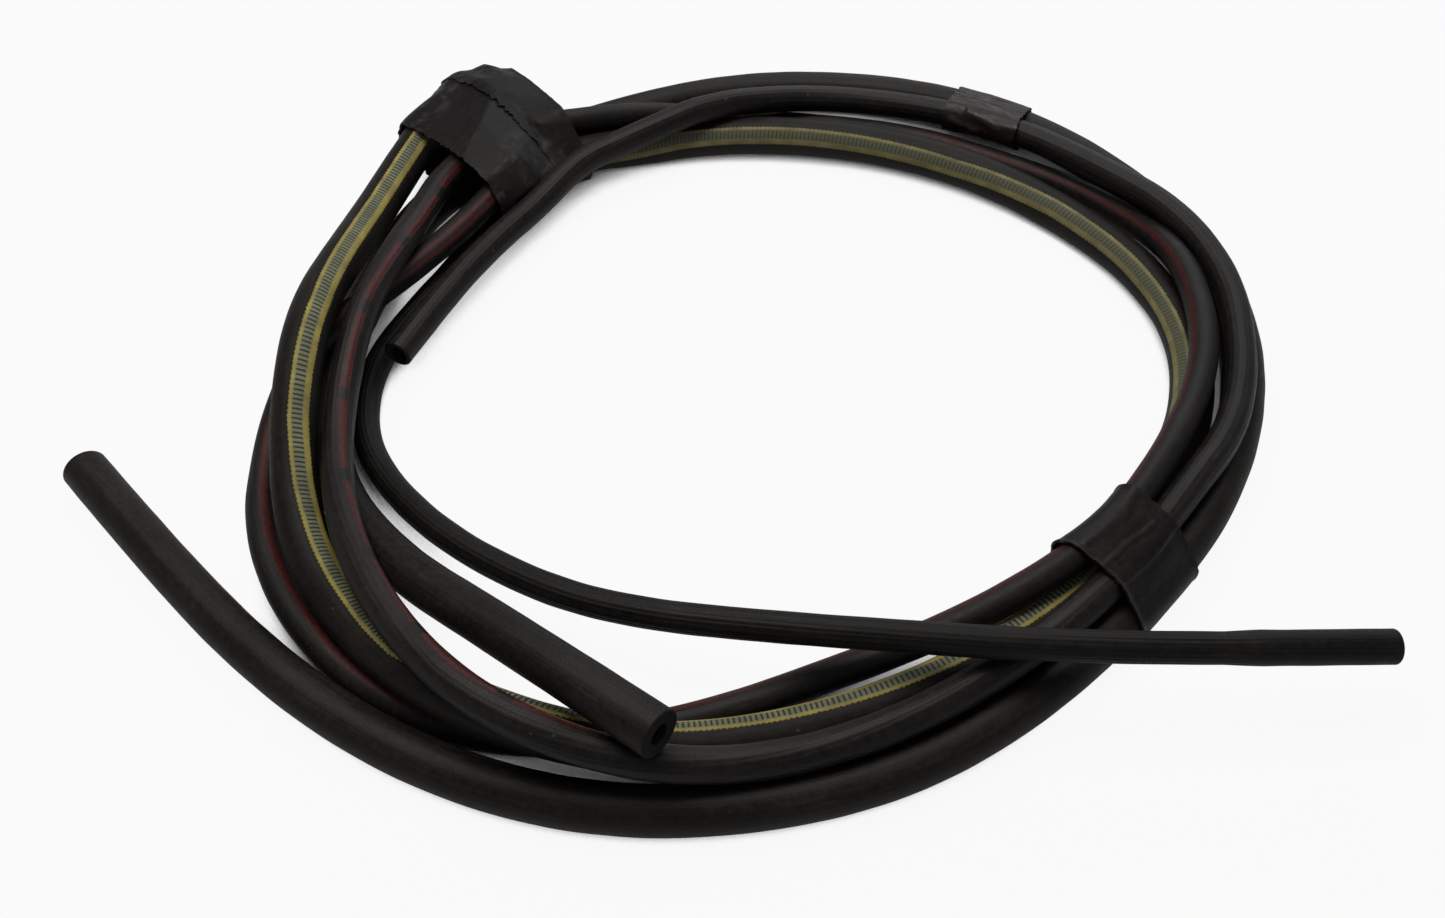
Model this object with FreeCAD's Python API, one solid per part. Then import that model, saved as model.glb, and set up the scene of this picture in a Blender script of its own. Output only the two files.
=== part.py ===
# Five lengths of rubber hose lying in one flat coil, bound together by wraps of tape.
# Units are millimetres. Z is up and the floor is Z = 0. X is the coil's long way.

import math
import os

import FreeCAD
import Part

V = FreeCAD.Vector

# Hose sizes
PLAIN_OD = 16.0
PLAIN_BORE = 7.0
BAND_OD = 16.5
DASH_OD = 11.5
DASH_BORE = 7.5
LINE_OD = 11.0
RIBBED_OD = 10.4
RIBBED_END_OD = 11.3
RIBBED_BORE = 6.0

# Straight open ends of the hoses
PLAIN_END_LENGTH = 26.0
RIBBED_END_LENGTH = 27.0
DASH_END_LENGTH = 20.0

# Bends of a hose: each bend takes this share of the shorter run beside it
BEND_SHARE = 0.45

# Tape
TAPE_THICKNESS = 0.9
TAPE_SLACK = 0.15
TAPE_WIDTH = 34.0
LOWER_LAP_WIDTH = 35.0
UPPER_LAP_WIDTH = 20.0
LAP_OVER = 4.0
TAPE_SIDES = 12
SAMPLE_STEP = 2.0

# The middle line of each hose, as the corners that its bends round off
PLAIN_PATH = [
    (-220.3, -48.6, 8), (-178, -93, 8), (-132, -135.5, 8), (-85, -165, 8), (-35, -181, 8), (16, -182, 8),
    (68, -170, 8), (113.5, -143, 8.6), (152.5, -107.5, 9.3), (191, -61, 9.2), (214, -7, 8), (217.8, 47, 8),
    (199, 98, 8), (165, 140, 9.2), (121, 169, 9.2), (68, 183, 8), (13, 180, 8.2), (-38, 158.5, 9.8),
    (-82, 131, 10.4), (-115, 96, 10.2), (-131, 51, 8.2), (-140, -4, 8), (-131, -54, 8), (-100, -96, 16),
    (-56, -134, 33), (-6, -172.5, 39),
]
BAND_PATH = [
    (-98, 164, 20), (-116, 142, 20.5), (-124.5, 111, 21), (-133, 72, 23), (-136.5, 40, 31.1), (-140, 9, 37.5),
    (-141, -19, 37), (-140, -51, 26), (-133, -85, 15), (-111, -118, 13.8), (-84, -143, 18.5),
    (-50, -160.5, 21.5), (-12, -165.5, 14.2), (26, -158.5, 8.3), (64, -147, 8.3), (100.5, -128.8, 8.8),
    (135.7, -101.2, 9.5), (166, -64, 9.5), (190, -22, 8.3), (196.5, 21, 8.3), (184, 59.5, 8.3), (160, 90, 8.5),
    (128, 116.5, 10), (90, 135, 10), (49, 144, 10), (8, 145, 9.5), (-25.5, 138, 8.4), (-50, 131, 10.5), (-70, 118, 13.5),
]
DASH_PATH = [
    (-86, 125, 24.4), (-104, 103, 24.2), (-116, 69, 25.6), (-119, 37, 33), (-124, 7, 34), (-127, -29, 25),
    (-123, -63, 24), (-110, -101, 29), (-88, -135, 32.5), (-58, -163, 36.5), (-18, -175, 26.2),
    (22, -172.5, 18.8), (62.5, -160.8, 18.8), (103.5, -137.8, 19.8), (141, -108, 21), (173, -69.5, 21.8),
    (195, -43, 22), (208, -7, 22), (212.5, 37, 22.4), (199.7, 75.8, 23.8), (172.3, 109.5, 20.3),
    (139, 142, 17), (95, 163, 13.2), (48, 166, 15.2), (6, 147, 24.6), (-17.5, 132.5, 23), (-34, 121, 20.5),
    (-49, 108.8, 16), (-66, 87, 12.8), (-80.5, 69.5, 15.3), (-97.5, 40.3, 14.3), (-114, 8, 13.3),
]
LINE_PATH = [
    (-78, 103, 21), (-88, 83, 20), (-105.5, 57.5, 18), (-125, 27, 21), (-140, 7, 23.8), (-152, -13, 14.6), (-156.5, -39, 5.5),
    (-152.5, -73, 5.5), (-136, -106.5, 5.5), (-109, -135, 5.5), (-76, -153, 5.5), (-38, -158, 5.5),
    (4, -150, 5.5), (45, -134.5, 6), (84.5, -121.3, 13), (114.7, -108.5, 22), (143.5, -88, 24.6),
    (169, -54.8, 24.4), (190, -18, 23.5), (198, 17, 23), (196, 52, 21.8), (187, 84, 10.6),
    (167, 111.5, 6), (135.5, 130.8, 5.5), (98.5, 149.3, 5.5), (57, 157, 5.5), (8, 162.5, 5.5),
    (-29, 149, 19), (-66, 133, 24),
]
RIBBED_PATH = [
    (-84, 96, 6.6), (-92, 66, 6.4), (-110, 34, 5.2), (-124.5, 6, 5.2), (-123.5, -27, 5.2), (-111, -53, 7),
    (-84, -83.5, 13), (-47, -109, 19), (-14, -121, 23), (22, -127.5, 26.5), (65, -133.7, 30.3),
    (108, -137.8, 31.5), (167, -138.4, 30), (226, -135.6, 27.1),
]

# Where the tape lies: middle of each wrap and the way the hoses run through it
BACK_TAPE_AT, BACK_TAPE_TURN = (132, 152), -25.0
FRONT_TAPE_AT, FRONT_TAPE_TURN = (150, -97.5), 46.0
BLOCK_START, BLOCK_TURN = (-105, 106), 45.0
BLOCK_END_TURN = 28.0

os.makedirs("parts", exist_ok=True)


def export(name, shape):
    """Save one sub-part and print its size."""
    assert shape.isValid() and shape.ShapeType == "Solid", name
    shape.exportStep("parts/" + name + ".step")
    print(f"{name}: {shape.Volume:.0f} mm3")


def bends(points):
    """Return the start, crown, end and radius of the arc at each inner corner."""
    found = []
    for before, corner, after in zip(points, points[1:], points[2:]):
        back, on = before - corner, after - corner
        cut = BEND_SHARE * min(back.Length, on.Length)
        turn = math.pi - back.getAngle(on)
        radius = cut / math.tan(turn / 2)
        start = corner + back.normalize() * cut
        end = corner + on.normalize() * cut
        inward = ((start + end) * 0.5 - corner).normalize()
        found.append((start, corner + inward * (math.hypot(radius, cut) - radius), end, radius))
    return found


def middle_line(points, start_cut, end_cut):
    """Join straight runs with tangent arcs, leaving a length off each end."""
    at = points[0] + (points[1] - points[0]).normalize() * start_cut
    edges = []
    for start, crown, end, radius in bends(points):
        edges.append(Part.LineSegment(at, start).toShape())
        edges.append(Part.Arc(start, crown, end).toShape())
        at = end
    last = points[-1] + (points[-2] - points[-1]).normalize() * end_cut
    edges.append(Part.LineSegment(at, last).toShape())
    return Part.Wire(edges)


def hose(name, path, diameter, start_cut=0.0, end_cut=0.0):
    """Sweep a hose between the pieces at its ends."""
    points = [V(*p) for p in path]
    line = middle_line(points, start_cut, end_cut)
    first = line.Edges[0]
    ring = Part.makeCircle(diameter / 2, first.valueAt(first.FirstParameter), points[1] - points[0])
    solid = line.makePipeShell([Part.Wire(ring)], True, False)
    share = solid.Volume / (math.pi * diameter ** 2 / 4 * line.Length)
    radii = [arc[3] for arc in bends(points)]
    print(f"{name}: length {line.Length:.0f}, bends {min(radii):.0f} to {max(radii):.0f}, volume share {share:.4f}")
    assert 0.99 < share < 1.01
    export(name, solid)


def open_end(name, path, at_start, diameter, bore, length):
    """Make the straight, bored end of a hose."""
    tip, inner = (path[0], path[1]) if at_start else (path[-1], path[-2])
    tip, inner = V(*tip), V(*inner)
    way = inner - tip
    solid = Part.makeCylinder(diameter / 2, length, tip, way)
    export(name, solid.cut(Part.makeCylinder(bore / 2, length, tip, way)).Solids[0])
    print(f"{name}: mouth {tuple(tip)}, way out {tuple((way * -1).normalize())}")


def samples(path, diameter):
    """List points along a hose with its direction and radius there."""
    line = middle_line([V(*p) for p in path], 0.0, 0.0)
    found = []
    for edge in line.Edges:
        steps = max(1, math.ceil(edge.Length / SAMPLE_STEP))
        for i in range(steps + 1):
            where = edge.FirstParameter + (edge.LastParameter - edge.FirstParameter) * i / steps
            found.append((edge.valueAt(where), edge.tangentAt(where), diameter / 2))
    return found


def station(middle, turn_deg, along):
    """Place a cutting plane across the hoses: its middle, normal and sideways direction."""
    turn = math.radians(turn_deg)
    normal = V(math.cos(turn), math.sin(turn), 0)
    return V(middle[0], middle[1], 0) + normal * along, normal, V(normal.y, -normal.x, 0)


def lean(sample, way):
    """Return how far a hose's round section reaches along a direction."""
    _, tangent, radius = sample
    return radius * math.sqrt(max(0, 1 - tangent.dot(way) ** 2))


def ring_of(plane, covered, reach, growth):
    """Fit a many-sided ring around all that passes within reach of a plane."""
    middle, normal, side = plane
    lines = []
    for i in range(TAPE_SIDES):
        angle = 2 * math.pi * i / TAPE_SIDES
        out = side * math.cos(angle) + V(0, 0, math.sin(angle))
        far = max((c[0] - middle).dot(out) + lean(c, out)
                  for c in covered if abs((c[0] - middle).dot(normal)) <= reach + lean(c, normal))
        lines.append((math.cos(angle), math.sin(angle), far + growth))
    ring = []
    for (a, b, c), (d, e, f) in zip(lines, lines[1:] + lines[:1]):
        det = a * e - b * d
        ring.append(middle + side * ((c * e - b * f) / det) + V(0, 0, (a * f - c * d) / det))
    return ring


def sleeve(name, planes, covered, reach):
    """Wrap tape around hoses: two skins of facets joined by a rim at each end."""
    for (middle, normal, _), inward in ((planes[0], 1), (planes[-1], -1)):
        covered = [c for c in covered if (c[0] - middle).dot(normal) * inward > -lean(c, normal) - SAMPLE_STEP / 2]
    inner = [ring_of(plane, covered, reach, TAPE_SLACK) for plane in planes]
    outer = [ring_of(plane, covered, reach, TAPE_SLACK + TAPE_THICKNESS) for plane in planes]
    faces = []

    def facet(*corners):
        faces.append(Part.Face(Part.makePolygon([*corners, corners[0]])))

    for i in range(TAPE_SIDES):
        j = (i + 1) % TAPE_SIDES
        for skin in (inner, outer):
            for near, far in zip(skin, skin[1:]):
                facet(near[i], near[j], far[j])
                facet(near[i], far[j], far[i])
        for end in (0, -1):
            facet(inner[end][i], inner[end][j], outer[end][j])
            facet(inner[end][i], outer[end][j], outer[end][i])
    solid = Part.makeSolid(Part.makeShell(faces))
    if solid.Volume < 0:
        solid.reverse()
    export(name, solid)
    return outer


hose("plain_hose", PLAIN_PATH, PLAIN_OD, PLAIN_END_LENGTH, PLAIN_END_LENGTH)
hose("yellow_band_hose", BAND_PATH, BAND_OD)
hose("red_dash_hose", DASH_PATH, DASH_OD, 0.0, DASH_END_LENGTH)
hose("red_line_hose", LINE_PATH, LINE_OD)
hose("ribbed_hose", RIBBED_PATH, RIBBED_OD, 0.0, RIBBED_END_LENGTH)

open_end("plain_hose_left_end", PLAIN_PATH, True, PLAIN_OD, PLAIN_BORE, PLAIN_END_LENGTH)
open_end("plain_hose_right_end", PLAIN_PATH, False, PLAIN_OD, PLAIN_BORE, PLAIN_END_LENGTH)
open_end("red_dash_hose_end", DASH_PATH, False, DASH_OD, DASH_BORE, DASH_END_LENGTH)
open_end("ribbed_hose_end", RIBBED_PATH, False, RIBBED_END_OD, RIBBED_BORE, RIBBED_END_LENGTH)

# The two plain wraps each hold the hoses that pass through them
half = TAPE_WIDTH / 2
passing = samples(PLAIN_PATH[12:17], PLAIN_OD) + samples(DASH_PATH[19:24], DASH_OD)
sleeve("tape_wrap_back", [station(BACK_TAPE_AT, BACK_TAPE_TURN, a) for a in (-half, 0, half)], passing, half)

passing = samples(PLAIN_PATH[6:11], PLAIN_OD) + samples(BAND_PATH[14:19], BAND_OD)
passing += samples(DASH_PATH[12:17], DASH_OD) + samples(LINE_PATH[13:18], LINE_OD)
sleeve("tape_wrap_front", [station(FRONT_TAPE_AT, FRONT_TAPE_TURN, a) for a in (-half, 0, half)], passing, half)

# The block is two laps over the hidden hose ends, the second one over the edge of the first
half = LOWER_LAP_WIDTH / 2
left = samples(PLAIN_PATH[17:22], PLAIN_OD) + samples(BAND_PATH[:4], BAND_OD) + samples(DASH_PATH[:4], DASH_OD)
entering = left + samples(LINE_PATH[:3], LINE_OD) + samples(RIBBED_PATH[:3], RIBBED_OD) + samples(BAND_PATH[-2:], BAND_OD)
planes = [station(BLOCK_START, BLOCK_TURN, a) for a in (0, half, LOWER_LAP_WIDTH)]
skin = sleeve("tape_block_lower_lap", planes, entering, half)

half = UPPER_LAP_WIDTH / 2
back = LAP_OVER / (LOWER_LAP_WIDTH / 2)
edge = [(far + (near - far) * step, V(0, 0, 0), 0.0) for far, near in zip(skin[-1], skin[-2]) for step in (0, back)]
leaving = left + samples(BAND_PATH[-4:], BAND_OD) + samples(LINE_PATH[-4:], LINE_OD)
start = LOWER_LAP_WIDTH - LAP_OVER
turns = (BLOCK_TURN, (BLOCK_TURN + BLOCK_END_TURN) / 2, BLOCK_END_TURN)
planes = [station(BLOCK_START, turn, start + a) for turn, a in zip(turns, (0, half, UPPER_LAP_WIDTH))]
sleeve("tape_block_upper_lap", planes, leaving + edge, half)
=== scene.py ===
# %% [markdown]
# # A flat coil of rubber hose, bound with tape
#
# The object is five lengths of black rubber hose that lie in one loose ring on a floor. Two wraps of tape hold
# the ring together, and a thick block of tape at the upper left hides the ends of three of the hoses.
# Every hose differs: one is plain and thick-walled, one has a yellow ladder-like band, two have dull red marks,
# and one has fine ribs along it. The lesson lays the hoses first, wraps the tape round them where they lie,
# gives both their rubber, and lights them as a product on a pale table.

# %% Load the model that the pieces must fit
import math

import bpy
import numpy as np
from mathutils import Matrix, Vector, noise


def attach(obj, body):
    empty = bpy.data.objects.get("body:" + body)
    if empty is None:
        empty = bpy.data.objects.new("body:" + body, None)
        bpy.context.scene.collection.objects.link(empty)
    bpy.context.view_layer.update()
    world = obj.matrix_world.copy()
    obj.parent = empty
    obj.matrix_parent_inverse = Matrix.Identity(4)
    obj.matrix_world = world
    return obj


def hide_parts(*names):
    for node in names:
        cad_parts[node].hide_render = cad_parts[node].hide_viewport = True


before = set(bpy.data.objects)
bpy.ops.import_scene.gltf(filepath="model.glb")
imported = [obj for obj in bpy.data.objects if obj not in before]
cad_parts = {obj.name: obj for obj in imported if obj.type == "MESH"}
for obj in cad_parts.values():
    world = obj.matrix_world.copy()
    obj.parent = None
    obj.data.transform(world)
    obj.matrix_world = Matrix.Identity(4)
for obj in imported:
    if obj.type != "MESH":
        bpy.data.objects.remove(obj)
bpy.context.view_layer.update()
print("solids:", ", ".join(sorted(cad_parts)))

# %% [markdown]
# ## Camera
#
# The picture looks down on the coil at about fifty degrees from the front. A camera is easiest to match before
# anything is modelled, because every later comparison depends on it. The picture has no tilt and no shift, so
# one location and one turn about X are enough, and the lens follows from the picture's width in pixels.

# %% Set up the camera
PICTURE_WIDTH = 1445
FOCAL_LENGTH_IN_PIXELS = 1350
SENSOR_WIDTH = 36.0

camera_data = bpy.data.cameras.new("table_camera")
camera_data.sensor_width = SENSOR_WIDTH
camera_data.lens = FOCAL_LENGTH_IN_PIXELS * SENSOR_WIDTH / PICTURE_WIDTH
camera_data.clip_start = 0.01
camera = bpy.data.objects.new("table_camera", camera_data)
bpy.context.scene.collection.objects.link(camera)
camera.location = (0.012, -0.358, 0.390)
camera.rotation_euler = (math.radians(39.4), 0.0, 0.0)
bpy.context.scene.camera = camera
print(f"lens {camera_data.lens:.2f} mm")

# %% [markdown]
# ## Routes of the hoses
#
# A hose has no shape of its own: it is a round section carried along a line. So each hose starts as a list of
# points in metres. They are the solid model's own, apart from a few near the block and at two open ends, which
# were moved by some millimetres to follow the picture. Where one hose crosses another, its points rise, because
# it rests on what it crosses.

# %% List the routes
PLAIN_ROUTE = [
    (-0.2203, -0.0486, 0.008), (-0.178, -0.093, 0.008), (-0.132, -0.1355, 0.008), (-0.085, -0.165, 0.008),
    (-0.035, -0.181, 0.008), (0.016, -0.182, 0.008), (0.068, -0.17, 0.008), (0.1135, -0.143, 0.0086),
    (0.1525, -0.1075, 0.0093), (0.191, -0.061, 0.0092), (0.214, -0.007, 0.008), (0.2178, 0.047, 0.008),
    (0.199, 0.098, 0.008), (0.165, 0.14, 0.0092), (0.121, 0.169, 0.0092), (0.068, 0.183, 0.008),
    (0.013, 0.18, 0.0082), (-0.038, 0.1585, 0.0098), (-0.082, 0.131, 0.0104), (-0.115, 0.096, 0.0102),
    (-0.131, 0.051, 0.0082), (-0.14, -0.004, 0.008), (-0.131, -0.054, 0.008), (-0.1, -0.096, 0.016),
    (-0.056, -0.134, 0.033), (-0.006, -0.1725, 0.039),
]
BAND_ROUTE = [
    (-0.098, 0.164, 0.02), (-0.116, 0.142, 0.0205), (-0.1245, 0.111, 0.021), (-0.133, 0.072, 0.023),
    (-0.1365, 0.04, 0.0311), (-0.14, 0.009, 0.0375), (-0.141, -0.019, 0.037), (-0.14, -0.051, 0.026),
    (-0.133, -0.085, 0.015), (-0.111, -0.118, 0.0138), (-0.084, -0.143, 0.0185), (-0.05, -0.1605, 0.0215),
    (-0.012, -0.1655, 0.0142), (0.026, -0.1585, 0.0083), (0.064, -0.147, 0.0083), (0.1005, -0.1288, 0.0088),
    (0.1357, -0.1012, 0.0095), (0.166, -0.064, 0.0095), (0.19, -0.022, 0.0083), (0.1965, 0.021, 0.0083),
    (0.184, 0.0595, 0.0083), (0.16, 0.09, 0.0085), (0.128, 0.1165, 0.01), (0.09, 0.135, 0.01),
    (0.049, 0.144, 0.01), (0.008, 0.145, 0.0095), (-0.0255, 0.138, 0.0084), (-0.05, 0.131, 0.0105),
    (-0.07, 0.118, 0.0135),
]
DASH_ROUTE = [
    (-0.086, 0.125, 0.0244), (-0.104, 0.103, 0.0242), (-0.1125, 0.068, 0.0262), (-0.1175, 0.037, 0.033),
    (-0.124, 0.007, 0.034), (-0.127, -0.029, 0.025), (-0.123, -0.063, 0.024), (-0.11, -0.101, 0.029),
    (-0.088, -0.135, 0.0325), (-0.058, -0.163, 0.0365), (-0.018, -0.175, 0.0262), (0.022, -0.1725, 0.0188),
    (0.0625, -0.1608, 0.0188), (0.1035, -0.1378, 0.0198), (0.141, -0.108, 0.021), (0.173, -0.0695, 0.0218),
    (0.195, -0.043, 0.022), (0.208, -0.007, 0.022), (0.2125, 0.037, 0.0224), (0.1997, 0.0758, 0.0238),
    (0.1723, 0.1095, 0.0203), (0.139, 0.142, 0.017), (0.095, 0.163, 0.0132), (0.048, 0.166, 0.0152),
    (0.006, 0.147, 0.0246), (-0.0175, 0.1325, 0.023), (-0.034, 0.1225, 0.0215), (-0.0508, 0.1115, 0.0203),
    (-0.067, 0.0885, 0.0155), (-0.0805, 0.0695, 0.0153), (-0.0975, 0.0403, 0.0143), (-0.1135, 0.0035, 0.0133),
]
LINE_ROUTE = [
    (-0.078, 0.103, 0.021), (-0.088, 0.083, 0.02), (-0.1055, 0.0575, 0.018), (-0.125, 0.027, 0.021),
    (-0.14, 0.007, 0.0238), (-0.152, -0.013, 0.0146), (-0.1565, -0.039, 0.0055), (-0.1525, -0.073, 0.0055),
    (-0.136, -0.1065, 0.0055), (-0.109, -0.135, 0.0055), (-0.076, -0.153, 0.0055), (-0.038, -0.158, 0.0055),
    (0.004, -0.15, 0.0055), (0.045, -0.1345, 0.006), (0.0845, -0.1213, 0.013), (0.1147, -0.1085, 0.022),
    (0.1435, -0.088, 0.0246), (0.169, -0.0548, 0.0244), (0.19, -0.018, 0.0235), (0.198, 0.017, 0.023),
    (0.196, 0.052, 0.0218), (0.187, 0.084, 0.0106), (0.167, 0.1115, 0.006), (0.1355, 0.1308, 0.0055),
    (0.0985, 0.1493, 0.0055), (0.057, 0.157, 0.0055), (0.008, 0.1625, 0.0055), (-0.029, 0.149, 0.019),
    (-0.066, 0.133, 0.024),
]
RIBBED_ROUTE = [
    (-0.084, 0.096, 0.0066), (-0.0955, 0.0665, 0.0064), (-0.1125, 0.035, 0.0052), (-0.1245, 0.006, 0.0052),
    (-0.1235, -0.027, 0.0052), (-0.111, -0.053, 0.007), (-0.084, -0.0835, 0.013), (-0.047, -0.109, 0.019),
    (-0.014, -0.121, 0.023), (0.022, -0.1275, 0.0265), (0.065, -0.1337, 0.0303), (0.108, -0.1378, 0.0315),
    (0.167, -0.1384, 0.03), (0.222, -0.1358, 0.0273),
]


# %% [markdown]
# ## One smooth line through a route
#
# Straight runs between the points would look like bent wire. A NURBS spline of order three touches each run at
# its middle and rounds every corner, the way a rubber hose takes a bend. `order_u` has to be set after the points
# are there, or Blender keeps it at two. A mesh made from the bare curve gives points to read, and they are
# spaced evenly so that every ring of the hose is as far from the next.

# %% Read an even line off a spline
RING_STEP = 0.0015


def even_line(name, route):
    """Return the distances and places of evenly spaced points on the smooth line through a route."""
    curve = bpy.data.curves.new(name + "_route", "CURVE")
    curve.dimensions = "3D"
    curve.resolution_u = 24
    spline = curve.splines.new("NURBS")
    spline.points.add(len(route) - 1)
    for knot, place in zip(spline.points, route):
        knot.co = (*place, 1.0)
    spline.order_u = 3
    spline.use_endpoint_u = True
    holder = bpy.data.objects.new(name + "_route", curve)
    bpy.context.scene.collection.objects.link(holder)
    bare = bpy.data.meshes.new_from_object(holder)
    places = np.array([vertex.co for vertex in bare.vertices])
    bpy.data.objects.remove(holder)
    bpy.data.curves.remove(curve)
    bpy.data.meshes.remove(bare)
    travelled = np.concatenate([[0.0], np.cumsum(np.linalg.norm(np.diff(places, axis=0), axis=1))])
    along = np.linspace(0.0, travelled[-1], round(travelled[-1] / RING_STEP) + 1)
    return along, np.column_stack([np.interp(along, travelled, places[:, axis]) for axis in range(3)])


class Line:
    """A hose's middle line, with the directions ahead, right and up at any distance along it."""

    def __init__(self, name, route):
        self.along, self.places = even_line(name, route)
        ahead = np.gradient(self.places, axis=0)
        self.ahead = ahead / np.linalg.norm(ahead, axis=1)[:, None]
        right = np.cross(self.ahead, (0.0, 0.0, 1.0))
        self.right = right / np.linalg.norm(right, axis=1)[:, None]
        self.up = np.cross(self.right, self.ahead)
        self.length = self.along[-1]

    def read(self, table, distance):
        """Interpolate one of the line's tables at some distances."""
        return np.column_stack([np.interp(distance, self.along, table[:, axis]) for axis in range(3)])


LINES = {
    "plain": Line("plain", PLAIN_ROUTE),
    "band": Line("band", BAND_ROUTE),
    "dash": Line("dash", DASH_ROUTE),
    "line": Line("line", LINE_ROUTE),
    "ribbed": Line("ribbed", RIBBED_ROUTE),
}
print("lengths in metres:", {name: round(float(line.length), 3) for name, line in LINES.items()})

# %% [markdown]
# ## From a line to a hose
#
# A curve with a round bevel would give a plain tube, but these hoses need ribs, a cut face, a bore and marks that
# turn slowly round them. So each hose is a grid of rings along its line. Its first column lies opposite the mark,
# where the two sides of its UV map meet. U goes once round the hose and V is the distance along it in metres, so
# a pattern can be given in real sizes.

# %% Build a hose from rings
LIP = 0.0005
DENT_DEPTH, DENT_LENGTH = 0.00012, 0.012


def end_rings(line, at_start, radius, bore, depth):
    """List the rings of a cut end, from the bottom of the bore out to the skin, as distance, radius and part."""
    sign, tip = (1.0, 0.0) if at_start else (-1.0, line.length)
    steps = [(depth, bore, 1), (depth * 0.5, bore, 1), (2 * LIP, bore, 1), (LIP * 0.4, bore + LIP * 0.2, 1)]
    steps += [(0.0, bore + LIP * 0.9, 1), (0.0, (bore + radius) * 0.5, 1), (0.0, radius - LIP * 1.2, 1)]
    steps += [(LIP * 0.3, radius - LIP * 0.35, 1), (LIP, radius, 0)]
    return [(tip + sign * inward, size, part) for inward, size, part in steps]


def dents(places, freedom, spacing):
    """Return small, slow, repeatable pushes in and out at some places, in metres."""
    return np.array([noise.noise(Vector(place) / spacing) for place in places]) * freedom


def lay_hose(name, line, radius, turns, sides, start=None, end=None, shape=None):
    """Carry a round section along a line and return the piece."""
    rings = end_rings(line, True, radius, **start) if start else []
    inner = [d for d in line.along[1:-1]
             if not (start and d < 1.5 * LIP) and not (end and d > line.length - 1.5 * LIP)]
    if not start:
        inner = [0.0] + inner
    if not end:
        inner = inner + [line.length]
    rings += [(d, radius, 0) for d in inner]
    rings += end_rings(line, False, radius, **end)[::-1] if end else []

    distance = np.array([ring[0] for ring in rings])
    size = np.array([ring[1] for ring in rings])
    skin = np.array([ring[2] == 0 for ring in rings])
    turn = np.radians(np.interp(distance, [t[0] for t in turns], [t[1] for t in turns]))
    around = 2 * math.pi * np.arange(sides) / sides
    angle = turn[:, None] + math.pi + around[None, :]
    middle, right, up = (line.read(table, distance) for table in (line.places, line.right, line.up))
    outward = up[:, None] * np.cos(angle)[..., None] + right[:, None] * np.sin(angle)[..., None]

    reach = np.repeat(size[:, None], sides, axis=1)
    if shape is not None:
        reach = np.where(skin[:, None], shape(reach, around[None, :], distance[:, None], angle), reach)
    places = middle[:, None] + outward * reach[..., None]
    push = dents(places.reshape(-1, 3), DENT_DEPTH, DENT_LENGTH).reshape(reach.shape)
    places += outward * np.where(skin[:, None], push, 0.0)[..., None]

    count = len(rings)
    vertices = np.concatenate([places.reshape(-1, 3), middle[:1], middle[-1:]])
    faces, maps, parts = [], [], []
    for ring in range(count - 1):
        part = 0 if skin[ring] and skin[ring + 1] else 1
        for side in range(sides):
            other = (side + 1) % sides
            faces.append((ring * sides + side, ring * sides + other, (ring + 1) * sides + other,
                          (ring + 1) * sides + side))
            u, v = side / sides, (side + 1) / sides
            maps += [(u, distance[ring]), (v, distance[ring]), (v, distance[ring + 1]), (u, distance[ring + 1])]
            parts.append(part)
    for ring, hub, order in ((0, count * sides, 1), (count - 1, count * sides + 1, -1)):
        for side in range(sides):
            other = (side + 1) % sides
            corners = [hub, ring * sides + other, ring * sides + side][::order]
            faces.append(tuple(corners))
            maps += [(0.5, distance[ring])] * 3
            parts.append(1)

    mesh = bpy.data.meshes.new(name)
    mesh.from_pydata(vertices.tolist(), [], faces)
    layer = mesh.uv_layers.new(name="around_and_along")
    layer.data.foreach_set("uv", np.array(maps, dtype=np.float32).ravel())
    mesh.polygons.foreach_set("material_index", parts)
    mesh.polygons.foreach_set("use_smooth", [True] * len(faces))
    mesh.validate()
    piece = bpy.data.objects.new(name, mesh)
    bpy.context.scene.collection.objects.link(piece)
    print(f"{name}: {len(faces)} faces, {line.length:.3f} m long")
    return piece

# %% [markdown]
# ## Small helpers for materials
#
# Every finish here is worked out by nodes from the surface's own places, so no image is painted on and no picture
# is read. A few
# short helpers keep the networks readable: one adds a node, one does sums, one mixes colours.

# %% Make node helpers
def put(tree, kind, links=None, **settings):
    """Add a node, set its options, and fill its inputs with values or other nodes' outputs."""
    node = tree.nodes.new("ShaderNode" + kind)
    for option, value in settings.items():
        setattr(node, option, value)
    for socket, value in (links or {}).items():
        if isinstance(value, bpy.types.NodeSocket):
            tree.links.new(value, node.inputs[socket])
        else:
            node.inputs[socket].default_value = value
    return node


def calc(tree, operation, *values):
    """Do one sum on numbers or outputs."""
    return put(tree, "Math", dict(enumerate(values)), operation=operation).outputs[0]


def fade(tree, value, low, high):
    """Turn a value into a mask that rises from 0 at low to 1 at high."""
    return put(tree, "MapRange", {"Value": value, "From Min": low, "From Max": high}).outputs[0]


def blend(tree, mask, under, over):
    """Mix two colours by a mask."""
    return put(tree, "Mix", {0: mask, 6: under, 7: over}, data_type="RGBA").outputs[2]


def cloud(tree, vector, scale, detail=2.0):
    """Return a noise value."""
    return put(tree, "TexNoise", {"Vector": vector, "Scale": scale, "Detail": detail}).outputs[0]


def new_group(name, inputs, outputs):
    """Start a shader node group with named sockets."""
    tree = bpy.data.node_groups.new(name, "ShaderNodeTree")
    for label, kind, value in inputs:
        tree.interface.new_socket(label, in_out="INPUT", socket_type="NodeSocket" + kind).default_value = value
    for label, kind in outputs:
        tree.interface.new_socket(label, in_out="OUTPUT", socket_type="NodeSocket" + kind)
    return tree, tree.nodes.new("NodeGroupInput").outputs, tree.nodes.new("NodeGroupOutput").inputs


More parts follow.
